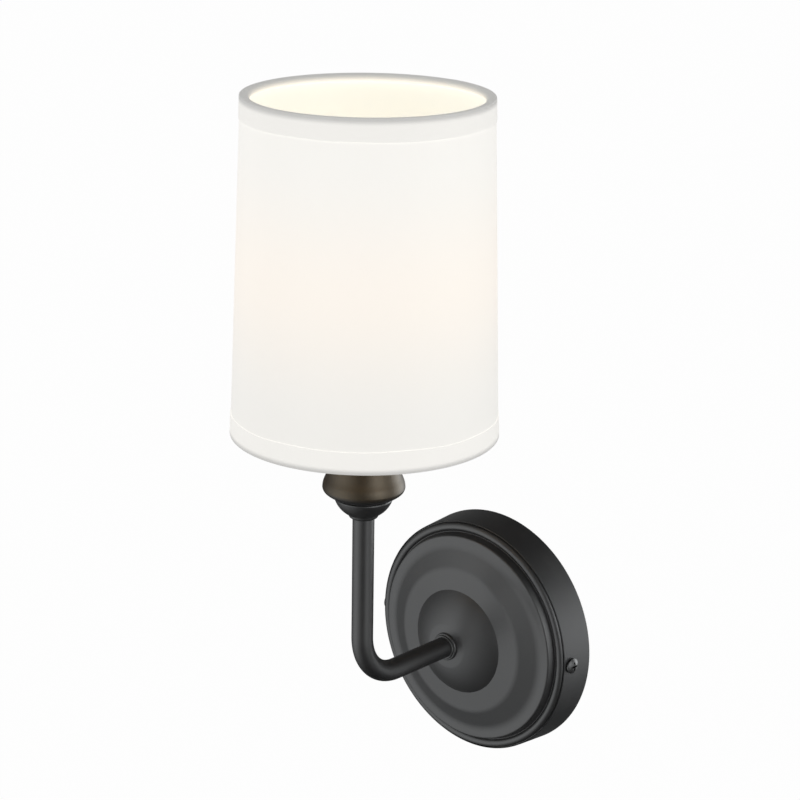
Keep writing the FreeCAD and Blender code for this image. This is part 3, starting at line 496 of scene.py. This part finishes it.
@dataclass(frozen=True)
class Backing:
    """Smooth cream backing inside the cloth, bright with the bulb's light."""

    colour: Colour = (0.80, 0.79, 0.74)
    high_glow: Colour = (0.295, 0.318, 0.310)
    low_glow: Colour = (0.60, 0.38, 0.20)
    low: float = 0.175
    high: float = 0.235

    def material(self) -> bpy.types.Material:
        """Build the material."""
        sheet = ShaderSheet("cream_backing")
        place = sheet.place()
        height = sheet.axes(place)[2]
        cloud = sheet.noise(place, 45.0)
        grain = sheet.noise(place, 2200.0)
        return sheet.finish(
            Base_Color=sheet.blend(cloud, self.colour, tuple(part * 0.97 for part in self.colour)),
            Roughness=0.5,
            # Painted light: the emission stands in for the bulb's light on the backing, orange low down and
            # paler higher up.
            Emission_Color=sheet.blend(height.rise(self.low, self.high), self.low_glow, self.high_glow),
            Emission_Strength=1.0,
            Normal=sheet.bump(grain, 0.2, 0.02 * MM))


# ---- helpers for pieces ----------------------------------------------------
def pick(piece: bpy.types.Object) -> None:
    """Make one object the only one that is selected, and the active one."""
    bpy.ops.object.select_all(action="DESELECT")
    piece.select_set(True)
    bpy.context.view_layer.objects.active = piece


def work(piece: bpy.types.Object, kind: str, **settings: object) -> None:
    """Put a modifier on a piece and apply it.

    Args:
        piece: the piece.
        kind: the modifier's type.
        settings: its properties.
    """
    pick(piece)
    modifier = piece.modifiers.new(kind.lower(), kind)
    for key, value in settings.items():
        setattr(modifier, key, value)
    bpy.ops.object.modifier_apply(modifier=modifier.name)


def settle(piece: bpy.types.Object, angle: float = 40.0) -> None:
    """Turn a piece's faces outwards and smooth every edge up to an angle in degrees."""
    pick(piece)
    bpy.ops.object.mode_set(mode="EDIT")
    bpy.ops.mesh.select_all(action="SELECT")
    bpy.ops.mesh.normals_make_consistent(inside=False)
    bpy.ops.object.mode_set(mode="OBJECT")
    bpy.ops.object.shade_smooth_by_angle(angle=math.radians(angle))


def add_piece(name: str, mesh: bmesh.types.BMesh) -> bpy.types.Object:
    """Put a finished bmesh into the scene as a piece."""
    data = bpy.data.meshes.new(name)
    mesh.to_mesh(data)
    mesh.free()
    piece = bpy.data.objects.new(name, data)
    bpy.context.collection.objects.link(piece)
    return piece


def dress(names: Sequence[str], material: bpy.types.Material, frame: dict) -> None:
    """Give solids of the model one finish.

    Args:
        names: the nodes.
        material: their finish.
        frame: the loaded frame.
    """
    for name in names:
        mesh = frame["nodes"][name].data
        mesh.materials.clear()
        mesh.materials.append(material)
        LOG.info("dressed %s in %s", name, material.name)


@dataclass
class WrappedSheet:
    """A sheet of cloth wrapped once round the lamp's axis.

    The profile is a line in (radius, height). The sheet laps over itself at the back, where
    the top layer ends in a sharp step and sinks to the lower layer on its other side.
    """

    name: str
    axis: tuple[float, float]
    profile: Sequence[tuple[float, float]]
    thickness: float
    lap: float
    lap_width: float = 7 * MM
    lap_edge: float = 0.25 * MM
    lap_fade: float = 3 * MM
    uneven: float = 0.06 * MM
    columns: int = 240
    seed: float = 0.0
    wander: Callable[[int, float], tuple[float, float]] | None = None
    cloth_map: str = "cloth"

    def angles(self) -> list[float]:
        """Angles of the columns, closer together at the lap.

        Returns:
            Angles in radians from 0 to 2 pi, counted from the back.
        """
        step = math.tau / self.columns
        even = [step * column for column in range(self.columns)]
        radius = max(point[0] for point in self.profile)
        edge = self.lap_edge / radius
        close = [edge * 0.5, edge, edge * 2, math.tau - edge, math.tau - edge * 0.5]
        return sorted(even + close)

    def lift(self, angle: float, radius: float) -> float:
        """Height of the lap's top layer at an angle.

        Args:
            angle: angle from the back in radians.
            radius: radius there.

        Returns:
            The outward offset.
        """
        along = angle * radius
        if along > self.lap_width + self.lap_fade:
            return 0.0
        step = min(1.0, along / self.lap_edge)
        sink = 1.0 - min(1.0, max(0.0, (along - self.lap_width) / self.lap_fade))
        return self.lap * step * sink

    def build(self) -> bpy.types.Object:
        """Build the sheet with its thickness.

        Returns:
            The finished piece.
        """
        mesh = bmesh.new()
        layer = mesh.loops.layers.uv.new(self.cloth_map)
        angles = self.angles()
        lengths = [0.0]
        for first, second in zip(self.profile, self.profile[1:]):
            lengths.append(lengths[-1] + math.dist(first, second))
        columns = []
        for angle in angles:
            bow = noise.noise(Vector((math.cos(angle) * 2, math.sin(angle) * 2, self.seed))) * self.uneven
            column = []
            for row, (radius, height) in enumerate(self.profile):
                out, up = self.wander(row, angle) if self.wander else (0.0, 0.0)
                reach = radius + bow + out + self.lift(angle, radius)
                column.append(mesh.verts.new((self.axis[0] + reach * math.sin(angle),
                                              self.axis[1] + reach * math.cos(angle),
                                              height + up)))
            columns.append(column)
        girth = self.profile[0][0]
        for index, angle in enumerate(angles):
            after = (index + 1) % len(angles)
            end = angles[after] if after else math.tau
            for row in range(len(self.profile) - 1):
                corners = (columns[index][row], columns[after][row],
                           columns[after][row + 1], columns[index][row + 1])
                face = mesh.faces.new(corners)
                face.smooth = True
                places = ((angle, row), (end, row), (end, row + 1), (angle, row + 1))
                for loop, (turn, rank) in zip(face.loops, places):
                    loop[layer].uv = (turn * girth, lengths[rank])
        piece = add_piece(self.name, mesh)
        work(piece, "SOLIDIFY", thickness=self.thickness, offset=0.0)
        settle(piece)
        return piece


@dataclass
class Turning:
    """Outline of a pressed or turned piece, in millimetres of (radius, depth from the wall)."""

    points: list[tuple[float, float]]

    def line(self, *points: tuple[float, float]) -> "Turning":
        """Straight on to each point."""
        self.points.extend(points)
        return self

    def sweep(self, centre: tuple[float, float], radius: float, start: float, end: float,
              steps: int = 14) -> "Turning":
        """Arc about a centre, from one angle to another in degrees from the radius line."""
        for step in range(steps + 1):
            turn = math.radians(start + (end - start) * step / steps)
            self.points.append((centre[0] + radius * math.cos(turn), centre[1] + radius * math.sin(turn)))
        return self

    def rounded(self, corner: tuple[float, float], end: tuple[float, float], reach: float,
                steps: int = 8) -> "Turning":
        """Go towards a corner and round it, heading for another point.

        Args:
            corner: the sharp corner.
            end: where the outline heads after it.
            reach: how far the rounding reaches on either side.
            steps: spans of the rounding.

        Returns:
            The outline.
        """
        here, edge, there = (Vector(point) for point in (self.points[-1], corner, end))
        start = edge + (here - edge).normalized() * reach
        stop = edge + (there - edge).normalized() * reach
        for step in range(steps + 1):
            share = step / steps
            point = start.lerp(edge, share).lerp(edge.lerp(stop, share), share)
            self.points.append(tuple(point))
        return self

    def revolve(self, name: str, steps: int = 200) -> bpy.types.Object:
        """Turn the closed outline about the Y axis into a piece.

        The modifier's merge distance is its default, 10 mm, so points closer to the axis than
        that run together on it.

        Args:
            name: name of the piece.
            steps: spans of the full turn.

        Returns:
            The piece.
        """
        mesh = bmesh.new()
        ring = [mesh.verts.new((radius * MM, -depth * MM, 0.0)) for radius, depth in self.points]
        for first, second in zip(ring, ring[1:] + ring[:1]):
            mesh.edges.new((first, second))
        piece = add_piece(name, mesh)
        work(piece, "SCREW", axis="Y", steps=steps, render_steps=steps, use_merge_vertices=True)
        return piece


# ---- sub-assemblies --------------------------------------------------------
class Edge(Enum):
    """The two edges of the shade: name of the tape's node, inward direction, light let through."""

    TOP = ("top_hem", -1.0, 0.8)
    BOTTOM = ("bottom_hem", 1.0, 1.05)


@dataclass
class Shade:
    """Tapered cloth drum with its backing, edge tapes and wire frame."""

    frame: dict
    bottom_radius: float = 61.6 * MM
    top_radius: float = 56.6 * MM
    cloth: float = 0.6 * MM
    backing: float = 0.5 * MM
    tape: float = 0.3 * MM
    hem: float = 10 * MM
    wire: float = 1.5 * MM
    lap: float = 0.35 * MM
    gap: float = 0.02 * MM
    corner: float = 0.45 * MM
    ring_play: float = 0.05 * MM
    tail: float = 0.5 * MM
    leg_steps: int = 8
    ring_steps: int = 12
    puff: float = 0.05 * MM
    ragged: float = 0.35 * MM
    height_allowance: float = 5 * MM
    tape_share: float = 0.97

    def __post_init__(self) -> None:
        """Read the shade's place from the frame."""
        low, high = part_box("shade_fabric")
        self.bottom, self.top = low[2], high[2]
        self.axis = ((low[0] + high[0]) / 2, (low[1] + high[1]) / 2)

    def radius(self, height: float) -> float:
        """Outside radius of the cloth at a height."""
        share = (height - self.bottom) / (self.top - self.bottom)
        return self.bottom_radius + (self.top_radius - self.bottom_radius) * share

    def skin(self, inset: float, rows: int) -> list[tuple[float, float]]:
        """Straight profile from the bottom edge to the top edge.

        Args:
            inset: how far inside the outer face of the cloth.
            rows: number of spans.

        Returns:
            The profile's points.
        """
        heights = [self.bottom + (self.top - self.bottom) * row / rows for row in range(rows + 1)]
        return [(self.radius(height) - inset, height) for height in heights]

    def build_cloth(self, finish: bpy.types.Material) -> bpy.types.Object:
        """Linen drum, cut as a sector of a ring and lapped at the back."""
        sheet = WrappedSheet("linen_cloth", self.axis, self.skin(self.cloth / 2, 24), self.cloth, self.lap)
        piece = sheet.build()
        piece.data.materials.append(finish)
        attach(piece, "shade")
        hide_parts("shade_fabric")
        return piece

    def build_backing(self, finish: bpy.types.Material) -> bpy.types.Object:
        """Smooth backing that the linen is laid on."""
        inset = self.cloth + self.backing / 2 + self.gap
        sheet = WrappedSheet("cream_backing", self.axis, self.skin(inset, 16), self.backing - 2 * self.gap,
                             0.0, seed=3.0)
        piece = sheet.build()
        piece.data.materials.append(finish)
        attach(piece, "shade")
        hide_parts("shade_liner")
        return piece

    def tape_profile(self, edge: Edge) -> list[tuple[float, float]]:
        """Line of the tape: up the outside, over the edge, round the ring, onto the backing."""
        inward = edge.value[1]
        rim = self.top if edge is Edge.TOP else self.bottom
        half = self.tape / 2
        leg = rim + inward * self.hem
        ring = rim + inward * (self.wire + self.tape)
        liner = self.radius(ring) - self.cloth - self.backing
        centre = liner - self.wire - self.ring_play
        points = []
        for step in range(self.leg_steps + 1):
            height = leg + (rim - leg) * step / self.leg_steps
            points.append((self.radius(height) + half, height))
        corner = self.corner
        points[-1] = (points[-1][0], rim + inward * (corner - half))
        for angle in (30, 60, 90):
            turn = math.radians(angle)
            points.append((self.radius(rim) + half - corner * (1 - math.cos(turn)),
                           rim + inward * (corner - half) - inward * corner * math.sin(turn)))
        points.append(((points[-1][0] + centre) / 2, rim - inward * half))
        around = self.wire + half
        for step in range(self.ring_steps + 1):
            turn = math.radians(90 + 180 * step / self.ring_steps)
            points.append((centre + around * math.cos(turn), ring - inward * around * math.sin(turn)))
        tail = ring + inward * (around + self.tail)
        points.append((self.radius(tail) - self.cloth - self.backing - half, tail))
        return points

    def build_tape(self, edge: Edge, finish: bpy.types.Material) -> bpy.types.Object:
        """Self-fabric tape folded over one edge of the drum and round its ring."""
        name = edge.value[0]
        seed = 5.0 if edge is Edge.TOP else 9.0

        def wander(row: int, angle: float) -> tuple[float, float]:
            """Let the tape's cut edge wander a little up and down and puff out."""
            place = Vector((math.cos(angle) * 3, math.sin(angle) * 3, seed))
            fade = max(0.0, 1.0 - row / self.leg_steps)
            puff = math.sin(math.pi * min(1.0, row / self.leg_steps)) * self.puff
            return puff, fade * noise.noise(place) * self.ragged

        sheet = WrappedSheet(f"{name}_cloth", self.axis, self.tape_profile(edge), self.tape, self.lap * 0.7,
                             seed=seed, wander=wander, lap_width=9 * MM)
        piece = sheet.build()
        piece.data.materials.append(finish)
        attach(piece, "shade")
        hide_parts(name)
        return piece

    def build(self) -> None:
        """Build the cloth pieces and dress the wire frame."""
        linen = Linen()
        cloth = self.build_cloth(linen.material("linen"))
        backing = self.build_backing(Backing().material())
        tapes = [self.build_tape(edge, linen.material(f"linen_{edge.value[0]}", edge.value[2]))
                 for edge in Edge]
        dress(["top_ring", "bottom_ring", "fitter_washer", "fitter_arms"],
              Metal.NICKEL.material(), self.frame)
        self.declare(tapes)
        for piece in (cloth, backing, *tapes):
            LOG.info("built %s, %d faces", piece.name, len(piece.data.polygons))

    def declare(self, tapes: Sequence[bpy.types.Object]) -> None:
        """Work out the flat area of each tape; the result is not used.

        Args:
            tapes: the tapes over its edges.
        """
        for tape, edge in zip(tapes, Edge):
            profile = self.tape_profile(edge)
            width = sum(math.dist(first, second) for first, second in zip(profile, profile[1:]))
            girth = math.tau * profile[0][0]
            girth * width * self.tape_share


@dataclass
class Canopy:
    """Pressed canopy with its rim bead, groove, land, cove, flat ring and dome, in millimetres.

    The outline has the collar's seat and the arm's hole, but the turned piece is closed there:
    both lie within the merge distance that `Turning.revolve` describes.
    """

    back_radius: float = 60.3
    wall: tuple[tuple[float, float], ...] = ((59.6, 10.0), (59.2, 15.5))
    wall_top: tuple[float, float] = (59.0, 17.7)
    wall_edge: tuple[float, float] = (58.7, 18.0)
    crease: tuple[float, float] = (58.5, 17.2)
    bead: tuple[float, float] = (55.95, 17.35)
    bead_radius: float = 2.3
    groove: tuple[float, float] = (53.65, 18.25)
    land_outer: tuple[float, float] = (52.4, 22.53)
    land_inner: tuple[float, float] = (47.1, 22.53)
    ring_outer: tuple[float, float] = (36.9, 27.33)
    ring_inner: tuple[float, float] = (26.8, 28.53)
    dome_radius: float = 39.9
    seat_radius: float = 8.2
    seat_depth: float = 36.81
    hole_radius: float = 5.2
    sheet: float = 1.0
    screw_depth: float = 13.0
    screw_hole: float = 2.15
    groove_round: float = 0.75
    land_round: float = 1.0
    cove_round: float = 2.4
    ring_round: float = 1.5
    drill_length: float = 0.14
    smooth_angle: float = 30.0

    def outline(self) -> Turning:
        """Outline of the sheet: its face from the wall to the hole, then its back."""
        dome = (0.0, self.ring_inner[1] - math.sqrt(self.dome_radius ** 2 - self.ring_inner[0] ** 2))
        foot = math.degrees(math.acos(self.ring_inner[0] / self.dome_radius))
        seat = math.degrees(math.acos(self.seat_radius / self.dome_radius))
        skin = Turning([(self.back_radius, 0.0), *self.wall, self.wall_top, self.wall_edge])
        skin.line(self.crease).sweep(self.bead, self.bead_radius, -4, 140, 26)
        skin.rounded(self.groove, self.land_outer, self.groove_round)
        skin.rounded(self.land_outer, self.land_inner, self.land_round)
        skin.rounded(self.land_inner, self.ring_outer, self.cove_round)
        skin.rounded(self.ring_outer, self.ring_inner, self.ring_round)
        skin.sweep(dome, self.dome_radius, foot + 0.6, seat, 24)
        skin.line((self.seat_radius, self.seat_depth), (self.hole_radius, self.seat_depth))
        # back of the sheet, from the hole outwards
        back = self.seat_depth - self.sheet - 0.2
        inside = self.dome_radius - self.sheet
        skin.line((self.hole_radius, back))
        skin.sweep(dome, inside, math.degrees(math.asin((back - dome[1]) / inside)), foot, 16)
        skin.line((self.ring_inner[0] - 0.5, self.ring_inner[1] - self.sheet - 0.1))
        skin.line((self.ring_outer[0] - 0.3, self.ring_outer[1] - self.sheet))
        skin.line((self.land_inner[0] - 0.3, self.land_inner[1] - self.sheet))
        skin.line((self.land_outer[0] - 0.7, self.land_outer[1] - self.sheet))
        skin.line((self.groove[0] - 0.9, self.groove[1] - self.sheet + 0.3))
        skin.line((self.groove[0] + 0.3, self.groove[1] - self.sheet))
        skin.sweep(self.bead, self.bead_radius - self.sheet, 150, 0, 12)
        skin.line((self.crease[0] - 1.5, self.crease[1] - self.sheet))
        return skin.line((self.wall_top[0] - self.sheet, self.crease[1] - self.sheet),
                         (self.back_radius - self.sheet, 0.0))

    def build(self, finish: bpy.types.Material) -> bpy.types.Object:
        """Press the canopy and drill its side for the two screws."""
        piece = self.outline().revolve("pressed_canopy")
        bpy.ops.mesh.primitive_cylinder_add(vertices=48, radius=self.screw_hole * MM,
                                            depth=self.drill_length,
                                            location=(0.0, -self.screw_depth * MM, 0.0),
                                            rotation=(0.0, math.pi / 2, 0.0))
        drill = bpy.context.object
        settle(piece, self.smooth_angle)
        work(piece, "BOOLEAN", object=drill, operation="DIFFERENCE", solver="EXACT")
        bpy.data.objects.remove(drill)
        settle(piece, self.smooth_angle)
        piece.data.materials.append(finish)
        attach(piece, "fixture")
        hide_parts("wall_canopy")
        return piece


@dataclass
class Metalwork:
    """Canopy, arm, cup and the hardware that fixes them."""

    frame: dict

    def build(self) -> None:
        """Build the canopy and dress the other pieces of metal."""
        coat = PowderCoat().material()
        Canopy().build(coat)
        dress(["arm_tube", "arm_collar", "neck_collar", "socket_holder", "side_screw_right",
               "side_screw_left"], coat, self.frame)
        dress(["socket_cup"], PowderCoat().material("powder_coat_in_warm_light", True), self.frame)
        dress(["mounting_strap", "canopy_nut", "cup_nut", "lock_washer", "fixing_screws"],
              Metal.ZINC.material(), self.frame)
        dress(["ground_screw"], Metal.GREEN.material(), self.frame)


@dataclass
class LampSocket:
    """Moulded socket with its contacts and ring nut."""

    frame: dict

    def build(self) -> None:
        """Dress the socket."""
        dress(["socket_body", "ring_nut", "wire_bushing"], Moulding.PHENOLIC.material(), self.frame)
        dress(["screw_shell", "centre_contact"], Metal.BRASS.material(), self.frame)


@dataclass
class Bulb:
    """Frosted bulb with its cap, and the light that it gives."""

    frame: dict
    power: float = 0.42
    tint: Colour = (1.0, 0.84, 0.62)
    light_radius: float = 0.016

    def build(self) -> None:
        """Dress the bulb's pieces."""
        dress(["bulb_glass"], FrostedGlass().material(), self.frame)
        dress(["bulb_cap", "bulb_contact"], Metal.BRIGHT.material(), self.frame)
        dress(["bulb_insulator"], Moulding.FUSED_GLASS.material(), self.frame)


# ---- studio ----------------------------------------------------------------
@dataclass(frozen=True)
class Softbox:
    """A soft studio lamp."""

    name: str
    place: tuple[float, float, float]
    aim: tuple[float, float, float]
    size: tuple[float, float]
    power: float
    tint: Colour = (1.0, 1.0, 1.0)

    def build(self) -> None:
        """Hang the lamp and turn it to its aim."""
        bpy.ops.object.light_add(type="AREA", location=self.place)
        lamp = bpy.context.object
        lamp.name = self.name
        lamp.data.shape = "RECTANGLE"
        lamp.data.size, lamp.data.size_y = self.size
        lamp.data.energy = self.power
        lamp.data.color = self.tint
        heading = Vector(self.aim) - Vector(self.place)
        lamp.rotation_euler = heading.to_track_quat("-Z", "Y").to_euler()
        lamp.visible_glossy = False


@dataclass(frozen=True)
class Bounce:
    """A broad pale surface of the studio, as glossy surfaces see it."""

    way: tuple[float, float, float]
    strength: float
    tightness: float


@dataclass
class Studio:
    """Pale floor, white surround, soft lamps and the camera."""

    floor_height: float = -0.55
    floor_size: float = 40.0
    surround: float = 0.42
    dimmest: float = 0.02
    bounces: tuple[Bounce, ...] = (
        Bounce((-0.531, -0.844, 0.078), 0.864, 3.0),
        Bounce((-0.209, -0.973, -0.10), 0.63, 3.0),
        Bounce((0.377, 0.926, -0.011), 6.27, 12.0),
        Bounce((-0.382, -0.838, -0.389), 1.17, 6.0),
        Bounce((-0.315, -0.875, 0.367), 1.07, 6.0),
        Bounce((-0.726, -0.472, -0.50), 0.55, 12.0),
        Bounce((-0.504, 0.86, -0.078), 0.27, 6.0),
        Bounce((0.971, 0.05, -0.233), 1.5, 12.0),
        Bounce((0.969, -0.08, 0.233), 5.6, 12.0))
    cool: Colour = (0.975, 1.0, 1.012)
    camera_place: tuple[float, float, float] = (0.7149, -0.8721, 0.4703)
    camera_target: tuple[float, float, float] = (-0.01257, -0.0603, 0.1297)
    camera_roll: float = 0.881
    lens: float = 108.33
    sensor_width: float = 36.0
    far: float = 100.0
    seen_white: float = 0.98

    def build_camera(self) -> None:
        """Place the camera at the photograph's view."""
        bpy.ops.object.camera_add(location=self.camera_place)
        camera = bpy.context.object
        camera.name = "view"
        camera.data.lens = self.lens
        camera.data.sensor_width = self.sensor_width
        camera.data.clip_end = self.far
        heading = Vector(self.camera_target) - Vector(self.camera_place)
        turn = heading.to_track_quat("-Z", "Y").to_matrix()
        right, up, back = (turn.col[index].copy() for index in range(3))
        roll = math.radians(self.camera_roll)
        turn.col[0] = right * math.cos(roll) + up * math.sin(roll)
        turn.col[1] = up * math.cos(roll) - right * math.sin(roll)
        turn.col[2] = back
        camera.rotation_euler = turn.to_euler()
        bpy.context.scene.camera = camera

    def build_floor(self) -> None:
        """Lay the floor far below the light."""
        bpy.ops.mesh.primitive_plane_add(size=self.floor_size, location=(0, 0, self.floor_height))
        floor = bpy.context.object
        floor.name = "floor"
        floor.visible_glossy = False
        sheet = ShaderSheet("floor_white")
        paint = sheet.node("ShaderNodeBsdfDiffuse", None, {"Color": (0.8, 0.8, 0.8)})
        white = sheet.node("ShaderNodeEmission", None, {"Color": (1.0, 1.0, 1.0), "Strength": 1.0})
        share = sheet.maths("MAXIMUM", sheet.ray("Camera"), sheet.ray("Transmission")) * self.seen_white
        mix = sheet.node("ShaderNodeMixShader", None, {"Fac": share})
        sheet.tree.links.new(paint.outputs[0], mix.inputs[1])
        sheet.tree.links.new(white.outputs[0], mix.inputs[2])
        output = sheet.node("ShaderNodeOutputMaterial")
        sheet.tree.links.new(mix.outputs[0], output.inputs["Surface"])
        floor.data.materials.append(sheet.owner)

    def build_surround(self) -> None:
        """White surround for what is seen, bounced light for gloss, soft light for the rest."""
        sheet = ShaderSheet("surround", world=True)
        bpy.context.scene.world = sheet.owner
        seen = sheet.maths("MAXIMUM", sheet.ray("Camera"), sheet.ray("Transmission"))
        gloss = sheet.ray("Glossy")
        mirrored = self.dimmest
        for bounce in self.bounces:
            mirrored = sheet.toward(bounce.way) ** bounce.tightness * bounce.strength + mirrored
        strength = seen + gloss * mirrored + (1.0 - seen - gloss) * self.surround
        cast = sheet.blend(gloss, (1.0, 1.0, 1.0), self.cool)
        background = sheet.node("ShaderNodeBackground", None, {"Color": cast, "Strength": strength})
        output = sheet.node("ShaderNodeOutputWorld")
        sheet.tree.links.new(background.outputs[0], output.inputs["Surface"])

    def build_lamps(self) -> None:
        """Hang the soft lamps."""
        middle = (0.0, -0.06, 0.12)
        for lamp in (
                Softbox("key", (-0.9, -1.3, 0.25), middle, (0.9, 0.9), 4.0),
                Softbox("side", (1.3, -0.2, 0.25), middle, (0.5, 0.9), 3.0)):
            lamp.build()

    def build(self) -> None:
        """Set up the studio."""
        bpy.context.scene.view_settings.view_transform = "Standard"
        self.build_camera()
        self.build_floor()
        self.build_surround()
        self.build_lamps()


def light_bulb(bulb: Bulb) -> None:
    """Put the bulb's own light at the middle of its glass, where it stays at every pose.

    Args:
        bulb: the bulb.
    """
    low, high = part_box("bulb_glass")
    middle = [(low[index] + high[index]) / 2 for index in range(3)]
    bpy.ops.object.light_add(type="POINT", location=middle)
    lamp = bpy.context.object
    lamp.name = "bulb_light"
    lamp.data.energy = bulb.power
    lamp.data.color = bulb.tint
    lamp.data.shadow_soft_size = bulb.light_radius


def main() -> None:
    """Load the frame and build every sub-assembly."""
    logging.basicConfig(level=logging.INFO)
    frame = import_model()
    Studio().build()
    Metalwork(frame).build()
    LampSocket(frame).build()
    bulb = Bulb(frame)
    bulb.build()
    light_bulb(bulb)
    Shade(frame).build()


if __name__ == "__main__":
    main()
